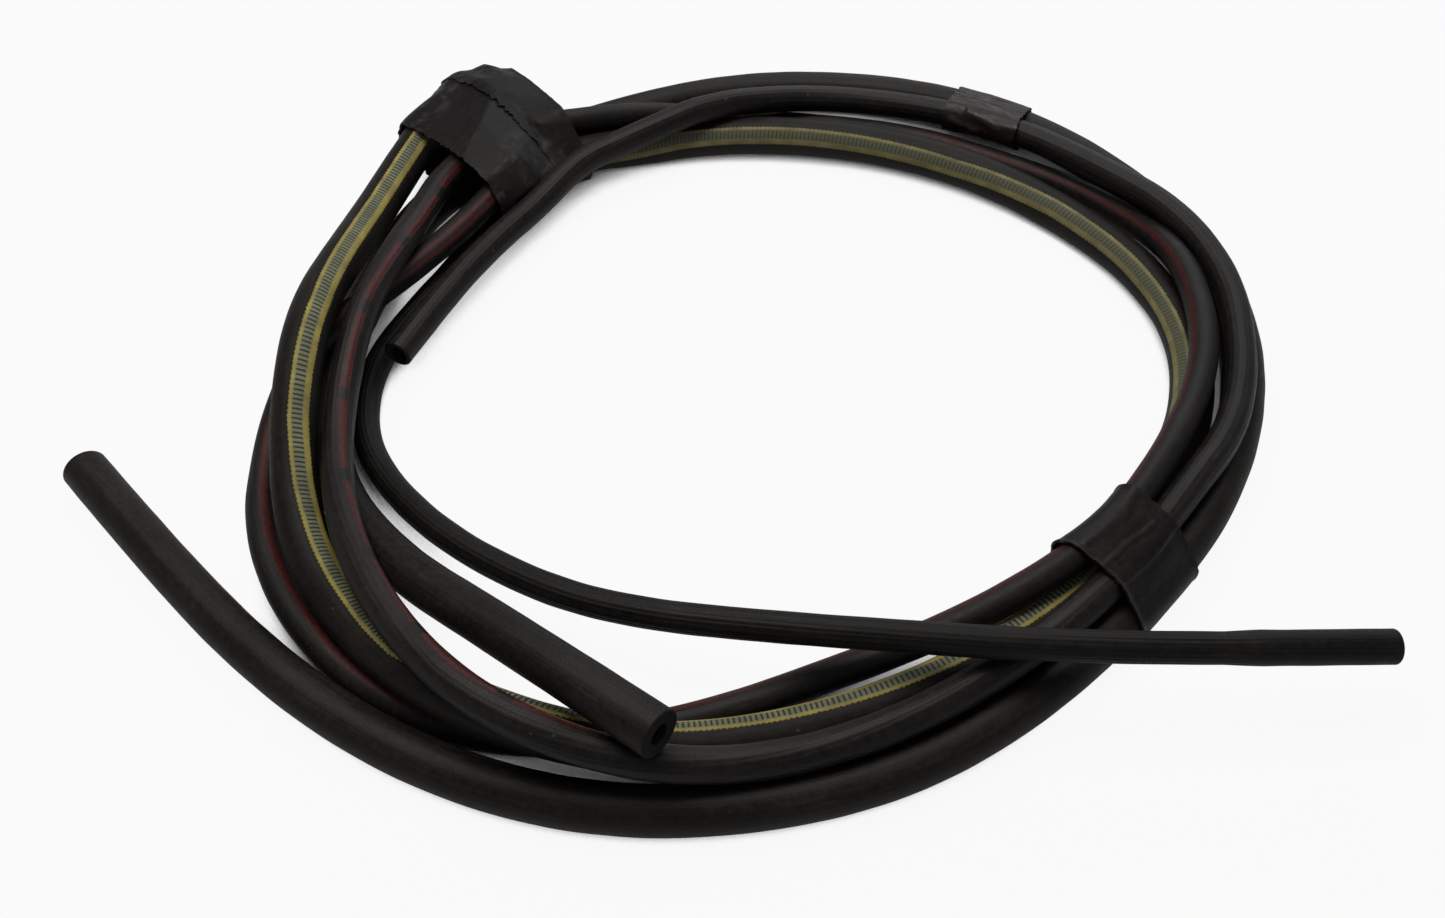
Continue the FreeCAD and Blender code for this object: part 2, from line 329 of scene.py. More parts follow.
def use_group(tree, group, **values):
    """Place a group in a material with its own values and return its outputs."""
    node = tree.nodes.new("ShaderNodeGroup")
    node.node_tree = group
    for label, value in values.items():
        socket = node.inputs[label.replace("_", " ")]
        if isinstance(value, bpy.types.NodeSocket):
            tree.links.new(value, socket)
        else:
            socket.default_value = value
    return node.outputs


# %% [markdown]
# ## Rubber
#
# Extruded rubber is nearly black, with a brown or grey cast that comes and goes, a fine grain, faint lines along
# it from the die, and pale specks of dust. One group makes all of these from the hose's own UV map and from Object
# coordinates. The lines read the sine and cosine of the way round, so they have no seam where U starts again.

# %% Build the rubber group
def read_hose_map(tree):
    """Return the share of the way round a hose and the distance along it."""
    uv = put(tree, "UVMap", uv_map="around_and_along").outputs[0]
    return put(tree, "SeparateXYZ", {0: uv}).outputs


def round_vector(tree, turn_scale, length_scale):
    """Return a vector that goes round the hose without a seam and along it in metres."""
    parts = read_hose_map(tree)
    turn = calc(tree, "MULTIPLY", parts[0], 2 * math.pi)
    return put(tree, "CombineXYZ", {
        0: calc(tree, "MULTIPLY", calc(tree, "COSINE", turn), turn_scale),
        1: calc(tree, "MULTIPLY", calc(tree, "SINE", turn), turn_scale),
        2: calc(tree, "MULTIPLY", parts[1], length_scale)}).outputs[0]


def build_rubber():
    """Build the group for worn rubber."""
    tree, given, out = new_group("worn_rubber", [
        ("Dark", "Color", (0.006, 0.005, 0.005, 1)), ("Light", "Color", (0.02, 0.015, 0.012, 1)),
        ("Dust", "Float", 0.3), ("Lines", "Float", 0.3), ("Grain", "Float", 0.5), ("Gloss", "Float", 0.5)],
        [("Color", "Color"), ("Roughness", "Float"), ("Height", "Float")])
    place = put(tree, "TexCoord").outputs["Object"]
    broad = cloud(tree, place, 26.0, 3.0)
    fine = cloud(tree, place, 420.0, 4.0)
    grain = cloud(tree, place, 2600.0, 2.0)
    lines = cloud(tree, round_vector(tree, 9.0, 7.0), 1.0, 3.0)
    scrape = cloud(tree, round_vector(tree, 5.0, 90.0), 1.0, 2.0)
    tone = calc(tree, "ADD", calc(tree, "MULTIPLY", broad, 0.5), calc(tree, "MULTIPLY", fine, 0.5))
    tone = calc(tree, "ADD", tone, calc(tree, "MULTIPLY", calc(tree, "SUBTRACT", lines, 0.5), given["Lines"]))
    color = blend(tree, fade(tree, tone, 0.36, 0.66), given["Dark"], given["Light"])
    cells = put(tree, "TexVoronoi", {"Vector": place, "Scale": 150.0, "Randomness": 1.0})
    size = calc(tree, "MULTIPLY", fade(tree, cloud(tree, place, 60.0), 0.48, 0.75), 0.12)
    specks = calc(tree, "LESS_THAN", cells.outputs["Distance"], size)
    film = calc(tree, "MULTIPLY", fade(tree, scrape, 0.55, 0.8), fade(tree, broad, 0.4, 0.7))
    dust = calc(tree, "MULTIPLY", calc(tree, "ADD", calc(tree, "MULTIPLY", specks, 0.6),
                                       calc(tree, "MULTIPLY", film, 0.24)), given["Dust"])
    color = blend(tree, dust, color, (0.16, 0.14, 0.12, 1))
    tree.links.new(color, out["Color"])
    rough = calc(tree, "ADD", given["Gloss"], calc(tree, "MULTIPLY", calc(tree, "SUBTRACT", fine, 0.5), 0.35))
    tree.links.new(calc(tree, "ADD", rough, calc(tree, "MULTIPLY", dust, 0.8)), out["Roughness"])
    height = calc(tree, "ADD", calc(tree, "MULTIPLY", grain, given["Grain"]),
                  calc(tree, "MULTIPLY", lines, given["Lines"]))
    tree.links.new(height, out["Height"])
    return tree


RUBBER = build_rubber()

# %% [markdown]
# ## Marks along a hose
#
# Two hoses carry dull red marks. A mark is a stretch of the way round, given in degrees either side of the first
# column's opposite, with an edge that wanders. Dashes also have a length and a gap along the hose. The same group
# makes a long line when the gap is nothing.

# %% Build the mark group
def build_mark():
    """Build the group for a stripe or a row of dashes."""
    tree, given, out = new_group("mark_along", [
        ("Centre", "Float", 0.0), ("Half width", "Float", 15.0), ("Edge", "Float", 4.0), ("Wander", "Float", 6.0),
        ("Pitch", "Float", 0.04), ("Gap", "Float", 0.0), ("Shift", "Float", 0.0), ("From", "Float", -1.0),
        ("To", "Float", 9.0)],
        [("Mask", "Float")])
    parts = read_hose_map(tree)
    place = put(tree, "TexCoord").outputs["Object"]
    rough = calc(tree, "MULTIPLY", calc(tree, "SUBTRACT", cloud(tree, place, 340.0, 4.0), 0.5), given["Wander"])
    slow = calc(tree, "MULTIPLY", calc(tree, "SUBTRACT", cloud(tree, place, 40.0), 0.5), given["Wander"])
    degrees = calc(tree, "MULTIPLY", calc(tree, "SUBTRACT", parts[0], 0.5), 360.0)
    off = calc(tree, "ABSOLUTE", calc(tree, "SUBTRACT", degrees, given["Centre"]))
    off = calc(tree, "ADD", off, calc(tree, "ADD", rough, slow))
    inside = calc(tree, "DIVIDE", calc(tree, "SUBTRACT", given["Half width"], off), given["Edge"])
    along = calc(tree, "ADD", parts[1], given["Shift"])
    along = calc(tree, "ADD", along, calc(tree, "MULTIPLY", rough, 0.0001))
    into = calc(tree, "PINGPONG", along, calc(tree, "DIVIDE", given["Pitch"], 2.0))
    dash = calc(tree, "DIVIDE", calc(tree, "SUBTRACT", into, calc(tree, "DIVIDE", given["Gap"], 2.0)), 0.0008)
    mask = calc(tree, "MULTIPLY", fade(tree, inside, 0.0, 1.0), fade(tree, dash, -0.5, 0.5))
    begun = fade(tree, calc(tree, "SUBTRACT", parts[1], given["From"]), 0.0, 0.02)
    going = fade(tree, calc(tree, "SUBTRACT", given["To"], parts[1]), 0.0, 0.02)
    mask = calc(tree, "MULTIPLY", mask, calc(tree, "MULTIPLY", begun, going))
    tree.links.new(mask, out["Mask"])
    return tree


MARK = build_mark()
RED_MARK = (0.095, 0.014, 0.012, 1)


def finish_material(name, color, roughness, height, bump_strength, bump_distance, level):
    """Close a material with one shader fed by a colour, a roughness and a height."""
    tree = color.id_data
    shader = tree.nodes["Principled BSDF"]
    tree.links.new(color, shader.inputs["Base Color"])
    tree.links.new(roughness, shader.inputs["Roughness"])
    shader.inputs["Specular IOR Level"].default_value = level
    bump = put(tree, "Bump", {"Strength": bump_strength, "Distance": bump_distance, "Height": height})
    tree.links.new(bump.outputs[0], shader.inputs["Normal"])
    print("material", name)


def new_material(name):
    """Start a material and return it with its node tree."""
    material = bpy.data.materials.new(name)
    material.use_nodes = True
    return material, material.node_tree


# %% Make the plain, ribbed and cut rubbers
def plain_rubber(name, dark, light, dust, lines, gloss, level):
    """Make a rubber with no marks."""
    material, tree = new_material(name)
    made = use_group(tree, RUBBER, Dark=dark, Light=light, Dust=dust, Lines=lines, Gloss=gloss)
    finish_material(name, made["Color"], made["Roughness"], made["Height"], 0.6, 0.0003, level)
    return material


plain_skin = plain_rubber("plain_rubber", (0.008, 0.0064, 0.005, 1), (0.022, 0.0165, 0.0125, 1),
                          0.6, 0.45, 0.5, 0.2)
ribbed_skin = plain_rubber("ribbed_rubber", (0.0055, 0.005, 0.0045, 1), (0.0165, 0.0135, 0.0115, 1),
                           0.6, 0.8, 0.5, 0.17)
cut_skin = plain_rubber("cut_rubber", (0.0085, 0.0075, 0.0065, 1), (0.018, 0.0155, 0.0125, 1), 0.4, 0.1, 0.75, 0.2)


# %% Make the two red-marked rubbers
def marked_rubber(name, dark, light, marks, gloss):
    """Make a rubber with red marks, each given as the mark group's values and a strength."""
    material, tree = new_material(name)
    made = use_group(tree, RUBBER, Dark=dark, Light=light, Dust=0.5, Lines=0.45, Gloss=gloss)
    color = made["Color"]
    for strength, tint, values in marks:
        mask = use_group(tree, MARK, **values)["Mask"]
        worn = fade(tree, cloud(tree, put(tree, "TexCoord").outputs["Object"], 900.0, 3.0), 0.25, 0.6)
        mask = calc(tree, "MULTIPLY", calc(tree, "MULTIPLY", mask, strength), calc(tree, "MAXIMUM", worn, 0.45))
        color = blend(tree, mask, color, tint)
    finish_material(name, color, made["Roughness"], made["Height"], 0.6, 0.0003, 0.22)
    return material


dash_skin = marked_rubber("dash_rubber", (0.0075, 0.0062, 0.0055, 1), (0.02, 0.0155, 0.0125, 1), [
    (0.3, (0.045, 0.017, 0.013, 1), {"Centre": 20.0, "Half_width": 26.0, "Edge": 20.0, "Pitch": 0.039,
                                      "Gap": 0.006, "Shift": 0.029}),
    (0.9, RED_MARK, {"Centre": 0.0, "Half_width": 17.0, "Edge": 6.0, "Pitch": 0.039, "Gap": 0.006,
                     "Shift": 0.029})], 0.44)
line_skin = marked_rubber("line_rubber", (0.0075, 0.006, 0.0055, 1), (0.02, 0.0155, 0.0125, 1), [
    (0.4, (0.05, 0.018, 0.015, 1), {"Centre": 0.0, "Half_width": 34.0, "Edge": 18.0, "To": 0.13}),
    (0.9, RED_MARK, {"Centre": -17.0, "Half_width": 10.0, "Edge": 4.0, "To": 0.13}),
    (0.9, RED_MARK, {"Centre": 17.0, "Half_width": 10.0, "Edge": 4.0, "To": 0.13}),
    (0.8, RED_MARK, {"Centre": 0.0, "Half_width": 22.0, "Edge": 10.0, "From": 0.12, "To": 0.46}),
    (0.6, RED_MARK, {"Centre": 0.0, "Half_width": 17.0, "Edge": 8.0, "From": 0.44})], 0.5)


# %% [markdown]
# ## The ladder band
#
# The thick hose carries a band like a woven tape: two dull yellow edges with small scallops, and between them a
# paler strip crossed by slate ticks. All of it follows the hose's UV map. The distance along is turned into a
# tick number and a place within the tick, and the way round decides between edge, strip and bare rubber.

# %% Make the banded rubber
TICK_PITCH = 0.00185
BAND_HALF = 28.0


def banded_rubber():
    """Make the rubber with the yellow ladder band."""
    material, tree = new_material("band_rubber")
    made = use_group(tree, RUBBER, Dark=(0.0078, 0.0064, 0.0055, 1), Light=(0.0205, 0.0155, 0.012, 1), Dust=0.5,
                     Lines=0.4, Gloss=0.52)
    parts = read_hose_map(tree)
    place = put(tree, "TexCoord").outputs["Object"]
    degrees = calc(tree, "MULTIPLY", calc(tree, "SUBTRACT", parts[0], 0.5), 360.0)
    off = calc(tree, "ABSOLUTE", degrees)
    slanted = calc(tree, "ADD", parts[1], calc(tree, "MULTIPLY", degrees, 0.000014))
    into = calc(tree, "PINGPONG", slanted, TICK_PITCH / 2)
    tick = calc(tree, "DIVIDE", into, TICK_PITCH / 2)
    wobble = calc(tree, "MULTIPLY", calc(tree, "SUBTRACT", cloud(tree, place, 700.0, 3.0), 0.5), 4.0)
    scallop = calc(tree, "MULTIPLY", tick, 2.6)
    edge = calc(tree, "SUBTRACT", calc(tree, "SUBTRACT", BAND_HALF, off), calc(tree, "ADD", scallop, wobble))
    band = fade(tree, edge, -1.2, 1.2)
    inward = calc(tree, "ABSOLUTE", calc(tree, "SUBTRACT", degrees, 4.0))
    reach = calc(tree, "SUBTRACT", 12.5, calc(tree, "ADD", inward, wobble))
    strip = fade(tree, reach, -4.0, 2.0)
    faded = fade(tree, parts[1], 0.56, 0.66)
    bars = calc(tree, "MULTIPLY", fade(tree, tick, 0.52, 0.74), fade(tree, reach, -1.5, 2.0))
    bars = calc(tree, "MULTIPLY", bars, calc(tree, "SUBTRACT", 1.0, calc(tree, "MULTIPLY", faded, 0.45)))
    grime = fade(tree, cloud(tree, place, 130.0, 4.0), 0.3, 0.75)
    fresh = blend(tree, grime, (0.42, 0.34, 0.085, 1), (0.22, 0.185, 0.06, 1))
    aged = blend(tree, grime, (0.27, 0.235, 0.095, 1), (0.15, 0.132, 0.055, 1))
    yellow = blend(tree, faded, fresh, aged)
    pale = blend(tree, grime, (0.24, 0.235, 0.12, 1), (0.13, 0.135, 0.085, 1))
    pale = blend(tree, faded, pale, (0.125, 0.125, 0.075, 1))
    ink = blend(tree, bars, blend(tree, strip, yellow, pale), (0.026, 0.036, 0.044, 1))
    color = blend(tree, band, made["Color"], ink)
    height = calc(tree, "ADD", made["Height"], calc(tree, "MULTIPLY", band,
                                                    calc(tree, "SUBTRACT", 1.6, calc(tree, "MULTIPLY", bars, 1.2))))
    finish_material("band_rubber", color, made["Roughness"], height, 0.5, 0.00025, 0.17)
    return material


band_skin = banded_rubber()

# %% [markdown]
# ## Lay the five hoses
#
# Each hose gets its own section. `turns` says at which angle from the top its mark lies, at some distances along
# it, because a hose twists slowly as it is coiled. Positive angles lie to the right, looking along the hose.

# %% Lay the plain hose
PLAIN_RADIUS, PLAIN_BORE_RADIUS = 0.008, 0.0035
plain_hose = lay_hose(
    "plain_hose_skin", LINES["plain"], PLAIN_RADIUS, [(0.0, 160.0), (1.4, 200.0)], 56,
    start={"bore": PLAIN_BORE_RADIUS, "depth": 0.025}, end={"bore": PLAIN_BORE_RADIUS, "depth": 0.025})

# %% Lay the banded hose
BAND_RADIUS, BAND_RISE = 0.00825, 0.00012


def raised_band(reach, around, distance, angle):
    """Lift the band a little above the rubber, with a soft edge."""
    off = np.abs(np.degrees(around) - 180.0)
    return reach + BAND_RISE * np.clip((BAND_HALF - off) / 4.0, 0.0, 1.0)


band_hose = lay_hose(
    "yellow_band_hose_skin", LINES["band"], BAND_RADIUS,
    [(0.0, -30), (0.08, -26), (0.14, -28), (0.17, -36), (0.22, -26), (0.26, -36), (0.30, -27), (0.33, -14),
     (0.37, -44), (0.40, -40), (0.44, -35), (0.48, -30), (0.52, -24), (0.57, -14), (0.62, -24), (0.68, -41),
     (0.73, -49), (0.80, -42), (0.85, -60), (0.92, -53), (0.98, -54), (1.02, -75), (1.05, -75)],
    72, shape=raised_band)

# %% Lay the two red-marked hoses
DASH_RADIUS, LINE_RADIUS = 0.00575, 0.0055
DIE_RIDGES, DIE_RIDGE_DEPTH = 18, 0.010


def die_ridges(reach, around, distance, angle):
    """Give a hose shallow ridges along it, from the die that it was pressed through."""
    return reach * (1.0 + DIE_RIDGE_DEPTH * np.cos(DIE_RIDGES * around))


dash_hose = lay_hose(
    "red_dash_hose_skin", LINES["dash"], DASH_RADIUS,
    [(0.0, -42), (0.07, -48), (0.10, -34), (0.13, -24), (0.16, -24), (0.20, -38), (0.24, -62), (0.27, -54),
     (0.30, -32), (0.33, -40), (0.45, -100), (0.60, -140), (0.80, -140), (1.2, -160)],
    72, end={"bore": 0.00375, "depth": 0.019}, shape=die_ridges)
line_hose = lay_hose(
    "red_line_hose_skin", LINES["line"], LINE_RADIUS,
    [(0.0, -35), (0.05, -40), (0.10, -30), (0.16, 0), (0.20, -26), (0.24, -38), (0.27, -8), (0.30, 0),
     (0.33, -10), (0.38, -36), (0.45, -38), (0.49, -34), (0.52, -38), (0.57, -48), (0.60, -54), (0.66, -54),
     (0.75, -40), (0.84, -20), (0.91, -120), (1.1, -160)],
    56)

# %% Lay the ribbed hose
RIBBED_RADIUS, RIBBED_END_RADIUS = 0.0052, 0.00565
RIBS, RIB_DEPTH = 20, 0.026
CUFF_LENGTH, CUFF_STEP = 0.055, 0.012


def ribs_and_cuff(reach, around, distance, angle):
    """Give the hose fine ribs, and a smooth thicker stretch at its open end."""
    left = LINES["ribbed"].length - distance
    cuff = np.clip((CUFF_LENGTH - left) / CUFF_STEP, 0.0, 1.0)
    rib = RIB_DEPTH * np.abs(np.cos(RIBS / 2 * around)) ** 0.7 - RIB_DEPTH
    return reach * (RIBBED_RADIUS / RIBBED_END_RADIUS) * (1.0 + rib * (1.0 - cuff)) * (
        1.0 + cuff * (RIBBED_END_RADIUS / RIBBED_RADIUS - 1.0))


ribbed_hose = lay_hose(
    "ribbed_hose_skin", LINES["ribbed"], RIBBED_END_RADIUS, [(0.0, 0.0), (0.52, 40.0)], 120,
    end={"bore": 0.003, "depth": 0.026}, shape=ribs_and_cuff)

HOSES = [
    (plain_hose, "plain", 2 * PLAIN_RADIUS, "plain_rubber", plain_skin,
     ["plain_hose", "plain_hose_left_end", "plain_hose_right_end"], "bare"),
    (band_hose, "band", 2 * BAND_RADIUS, "band_rubber", band_skin, ["yellow_band_hose"], "object"),
    (dash_hose, "dash", 2 * DASH_RADIUS, "dash_rubber", dash_skin, ["red_dash_hose", "red_dash_hose_end"], "bare"),
    (line_hose, "line", 2 * LINE_RADIUS, "line_rubber", line_skin, ["red_line_hose"], "object"),
    (ribbed_hose, "ribbed", 2 * RIBBED_RADIUS, "ribbed_rubber", ribbed_skin, ["ribbed_hose", "ribbed_hose_end"],
     "bare"),
]
for piece, key, diameter, slot, skin, nodes, far_end in HOSES:
    piece.data.materials.append(skin)
    piece.data.materials.append(cut_skin)
    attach(piece, "root")
    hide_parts(*nodes)

# %% [markdown]
# ## Tape drawn tight over a bundle
#
# Tape that is wound tightly round hoses lies flat from one hose to the next and turns only where it goes over one.
# In each slice across the bundle that is the outline of a stretched skin. It could be modelled face by face, but a
# skin is exact and quick: for many directions the farthest hose gives a line that the tape can't cross, and the
# nearest of those lines along each ray is where the tape lies.

# %% Find the skin around a bundle
TAPE_COLUMNS = 240
SKIN_GAP = 0.0003


def held(*spans):
    """Gather the middle places, directions and radii of stretches of hoses, each from one distance to another."""
    parts = []
    for key, radius, low, high in spans:
        line = LINES[key]
        low, high = (line.length + d if d < 0 else d for d in (low, high))
        some = (line.along >= low) & (line.along <= high)
        parts.append(np.column_stack([line.places[some], line.ahead[some], np.full(some.sum(), radius)]))
    return np.concatenate(parts)


def skin_row(bundle, middle, normal, side, window, corners):
    """Return the skin's distance from the bundle's own centre at every column, and that centre."""
    offset = bundle[:, :3] - middle
    in_slice = np.abs(offset @ normal) <= window
    near, offset = bundle[in_slice], offset[in_slice]
    flat = np.column_stack([offset @ side, offset[:, 2]])
    angle = 2 * math.pi * np.arange(TAPE_COLUMNS) / TAPE_COLUMNS - math.pi / 2
    out = np.column_stack([np.cos(angle), np.sin(angle)])
    way = out[:, :1] * side + out[:, 1:] * np.array([0.0, 0.0, 1.0])
    lean = near[:, 6:7] * np.sqrt(np.clip(1.0 - (near[:, 3:6] @ way.T) ** 2, 0.0, 1.0))
    far = (flat @ out.T + lean).max(axis=0) + SKIN_GAP
    if corners is not None:
        far = np.maximum(far, (corners @ out.T).max(axis=0))
    quarter = TAPE_COLUMNS // 4
    centre = np.array([far[quarter] - far[3 * quarter], far[2 * quarter] - far[0]]) / 2
    far = far - out @ centre
    facing = np.cos(angle[:, None] - angle[None, :])
    cut = np.where(facing > 0.15, far[None, :] / np.maximum(facing, 0.15), 1.0)
    return cut.min(axis=1), centre


def soften(rows, reach):
    """Average each row with its neighbours, as tape bridges small steps."""
    padded = np.concatenate([rows[:1]] * reach + [rows] + [rows[-1:]] * reach)
    return sum(padded[i:i + len(rows)] for i in range(2 * reach + 1)) / (2 * reach + 1)


# %% Roll a strip of tape round a bundle
FLOOR_GAP, LIFTED_FLOOR_GAP = 0.0003, 0.0004


def roll_tape(name, bundle, start, turns, low, high, rows, thickness, relief, window=0.006, lift=0.0,
              form=None):
    """Roll a flat grid round a bundle between two distances along it and give it thickness."""
    bpy.ops.object.select_all(action="DESELECT")
    bpy.ops.mesh.primitive_grid_add(x_subdivisions=TAPE_COLUMNS, y_subdivisions=rows, size=1.0)
    piece = bpy.context.active_object
    piece.name = piece.data.name = name
    share = np.linspace(0.0, 1.0, rows + 1)
    along = low + (high - low) * share
    turn = np.radians(np.interp(share, np.linspace(0.0, 1.0, len(turns)), turns))
    normal = np.column_stack([np.cos(turn), np.sin(turn), np.zeros(rows + 1)])
    side = np.column_stack([normal[:, 1], -normal[:, 0], np.zeros(rows + 1)])
    middle = np.array([start[0], start[1], 0.0]) + normal * along[:, None]
    found = [skin_row(bundle, middle[i], normal[i], side[i], window, form(along[i]) if form else None)
             for i in range(rows + 1)]
    reach = soften(np.array([row[0] for row in found]), 2)
    centre = soften(np.array([row[1] for row in found]), 2)
    columns = np.arange(TAPE_COLUMNS + 1) % TAPE_COLUMNS
    angle = 2 * math.pi * columns / TAPE_COLUMNS - math.pi / 2
    bulge, slide, worn = relief(np.degrees(angle)[None, :], share[:, None], reach[:, columns])
    reach = reach[:, columns] + lift + bulge
    flat = np.stack([np.cos(angle), np.sin(angle)], axis=-1)[None] * reach[..., None] + centre[:, None]
    places = (middle[:, None] + side[:, None] * flat[..., :1] + normal[:, None] * slide[..., None]
              + np.array([0.0, 0.0, 1.0]) * flat[..., 1:])
    places[..., 2] = np.maximum(places[..., 2], LIFTED_FLOOR_GAP if lift else FLOOR_GAP)
    piece.data.vertices.foreach_set("co", places.reshape(-1, 3).ravel())
    # The third value marks crests and turned edges, which the material tints paler: partly wear, partly a painted
    # highlight.
    layer = piece.data.attributes.new("worn", "FLOAT", "POINT")
    layer.data.foreach_set("value", np.broadcast_to(worn, reach.shape).astype(np.float32).ravel())
    bpy.ops.object.mode_set(mode="EDIT")
    bpy.ops.mesh.select_all(action="SELECT")
    bpy.ops.mesh.remove_doubles(threshold=0.00002)
    bpy.ops.mesh.normals_make_consistent(inside=False)
    bpy.ops.object.mode_set(mode="OBJECT")
    wall = piece.modifiers.new("thickness", "SOLIDIFY")
    wall.thickness = thickness
    wall.offset = 1.0
    bpy.ops.object.modifier_apply(modifier=wall.name)
    bpy.ops.object.shade_smooth_by_angle(angle=math.radians(50))
    size = np.array([corner[:] for corner in piece.bound_box])
    print(name, len(piece.data.polygons), "faces, mm", np.round(1000 * np.ptp(size, axis=0), 1))
    return piece


def ripple(angle, share, scale, seed):
    """Return repeatable noise that closes round the bundle, from -1 to 1, one value for each place."""
    angle, share = np.broadcast_arrays(np.radians(angle), share)
    spots = np.stack([np.cos(angle) * scale, np.sin(angle) * scale, share * scale * 0.6 + seed], axis=-1)
    return np.array([noise.noise(Vector(spot)) for spot in spots.reshape(-1, 3)]).reshape(angle.shape)


def ridge(angle, share, points, width):
    """Return a crest along a drawn path, given as share along and degrees, highest on the path."""
    path = np.interp(share, [p[0] for p in points], [p[1] for p in points])
    off = (angle - path + 180.0) % 360.0 - 180.0
    seen = (share >= points[0][0] - 0.02) & (share <= points[-1][0] + 0.02)
    return np.exp(-(off / width) ** 2) * seen


# %% [markdown]
# ## The block of tape
#
# The block at the upper left is two laps over the hidden ends of the hoses. Many layers lie under them, so the
# block has a form of its own: at four places along it, its corners are listed in millimetres as the way to the
# side and the height. The second lap lies over the edge of the first, so it is lifted by one thickness. Edges
# that show are torn, the surface is a little crumpled, and where the tape turns over a corner it is tinted paler,
# partly as wear and partly as a painted highlight.

# %% Roll the block's two laps
TAPE_THICKNESS = 0.0009
BLOCK_START, BLOCK_TURN, BLOCK_END_TURN = (-0.105, 0.106), 45.0, 37.0
LOWER_LAP_FROM, LOWER_LAP_TO, UPPER_LAP_FROM, UPPER_LAP_TO = 0.0, 0.038, 0.034, 0.0555
TEAR_SHARE = 0.1

block_bundle = held(("plain", PLAIN_RADIUS, 0.80, 1.05), ("band", BAND_RADIUS, 0.0, 0.09),
                    ("band", BAND_RADIUS, -0.06, -0.0001), ("dash", DASH_RADIUS, 0.0, 0.08),
                    ("line", LINE_RADIUS, 0.0, 0.05), ("line", LINE_RADIUS, -0.06, -0.0001),
                    ("ribbed", RIBBED_RADIUS, 0.0, 0.04))
BLOCK_FORM = [
    (0.0, [(-37, 17), (-29, 22), (-9, 29), (12, 33), (26, 29), (34.5, 19), (29, 3)]),
    (18.0, [(-45, 19), (-37, 25), (-18, 31.5), (1, 35), (22, 29.5), (33, 20), (27, 3)]),
    (38.0, [(-49, 24), (-44, 28.5), (-27, 33), (-14, 33.5), (11, 26.5), (28, 17.5), (24, 3)]),
    (56.0, [(-43, 22), (-38, 26), (-25, 28), (-10, 28.5), (7, 24.5), (14, 17), (12, 6)]),
]


def block_form(along):
    """Return the corners that the thick layers under the tape make at a distance along the block, in metres."""
    stations = [station for station, _ in BLOCK_FORM]
    corners = np.array([corner for _, corner in BLOCK_FORM], dtype=float)
    return np.array([[np.interp(along * 1000, stations, corners[:, i, axis]) for axis in range(2)]
                     for i in range(corners.shape[1])]) / 1000


def torn_edge(angle, share, first, last, seed):
    """Push the rows near each end along the bundle in short tears, by a reach for each end."""
    tear = (ripple(angle, 0.0, 6.0, seed) * 0.6 + ripple(angle, 0.0, 15.0, seed + 3.0) * 0.5
            + ripple(angle, 0.0, 48.0, seed + 4.0) * 0.2)
    at_first = np.clip(1.0 - share / TEAR_SHARE, 0.0, 1.0)
    at_last = np.clip(1.0 - (1.0 - share) / TEAR_SHARE, 0.0, 1.0)
    return tear * (first * at_first + last * at_last)


def lap_relief(seed, first, last):
    """Return a function that crumples a lap and marks where it turns over an edge."""
    def relief(angle, share, reach):
        low = ripple(angle, share, 3.0, seed) * 0.0002 + ripple(angle, share, 9.0, seed + 5.0) * 0.00008
        fine = ripple(angle, share, 26.0, seed + 9.0) * 0.00004
        bend = np.abs(np.roll(reach, 3, axis=1) + np.roll(reach, -3, axis=1) - 2 * reach) / 0.0006
        # Where the lap bends sharply over a corner it is marked for the paler tint: partly wear, partly a painted
        # highlight on the ridge.
        return low + fine, torn_edge(angle, share, first, last, seed + 2.0), np.clip(bend, 0.0, 1.0)
    return relief


lower_lap = roll_tape("tape_block_lower", block_bundle, BLOCK_START, (BLOCK_TURN, BLOCK_TURN), LOWER_LAP_FROM,
                      LOWER_LAP_TO, 44, TAPE_THICKNESS, lap_relief(1.0, 0.0016, 0.0004), window=0.008,
                      form=block_form)
upper_lap = roll_tape("tape_block_upper", block_bundle, BLOCK_START, (BLOCK_TURN, BLOCK_END_TURN), UPPER_LAP_FROM,
                      UPPER_LAP_TO, 30, TAPE_THICKNESS, lap_relief(21.0, 0.0024, 0.0002), window=0.008,
                      lift=TAPE_THICKNESS, form=block_form)

# %% [markdown]
# ## The two plain wraps
#
# The back wrap holds two hoses and has shrunk into long creases, which have a real gloss and a painted warm
# highlight. The front wrap holds four
# hoses: it is broad and flat, one end is folded to a lip, and a fold runs along its middle; the lip and the fold
# carry a painted highlight.

# %% Roll the back wrap
BACK_TAPE_AT, BACK_TAPE_TURN = (0.132, 0.152), -25.0
FRONT_TAPE_AT, FRONT_TAPE_TURN = (0.150, -0.0975), 46.0
HALF_TAPE = 0.017


def creases(angle, share, paths, width):
    """Add up crests along several drawn paths, from 0 to 1."""
    return np.clip(sum(ridge(angle, share, path, width) for path in paths), 0.0, 1.0)


BACK_CREASES = [
    [(0.05, 118), (0.35, 104), (0.65, 108), (0.95, 100)], [(0.0, 96), (0.3, 92), (0.6, 84), (1.0, 88)],
    [(0.0, 62), (0.4, 70), (0.8, 58)], [(0.3, 40), (0.7, 30), (1.0, 36)], [(0.1, 20), (0.5, 12)],
    [(0.5, 132), (0.8, 140), (1.0, 136)],
]


def back_relief(angle, share, reach):
    """Crease the back wrap along the hoses."""
    crest = creases(angle, share, BACK_CREASES, 5.5)
    low = ripple(angle, share, 5.0, 41.0) * 0.0003 + ripple(angle, share, 20.0, 45.0) * 0.0001
    # The creases are marked for a warm pale tint, which is a painted highlight along them.
    return crest * 0.0007 + low, torn_edge(angle, share, 0.001, 0.001, 42.0), crest


back_bundle = held(("plain", PLAIN_RADIUS, 0.55, 0.95), ("dash", DASH_RADIUS, 0.60, 0.95))
back_wrap = roll_tape("tape_wrap_back_skin", back_bundle, BACK_TAPE_AT, (BACK_TAPE_TURN, BACK_TAPE_TURN),
                      -HALF_TAPE, HALF_TAPE, 44, TAPE_THICKNESS, back_relief)

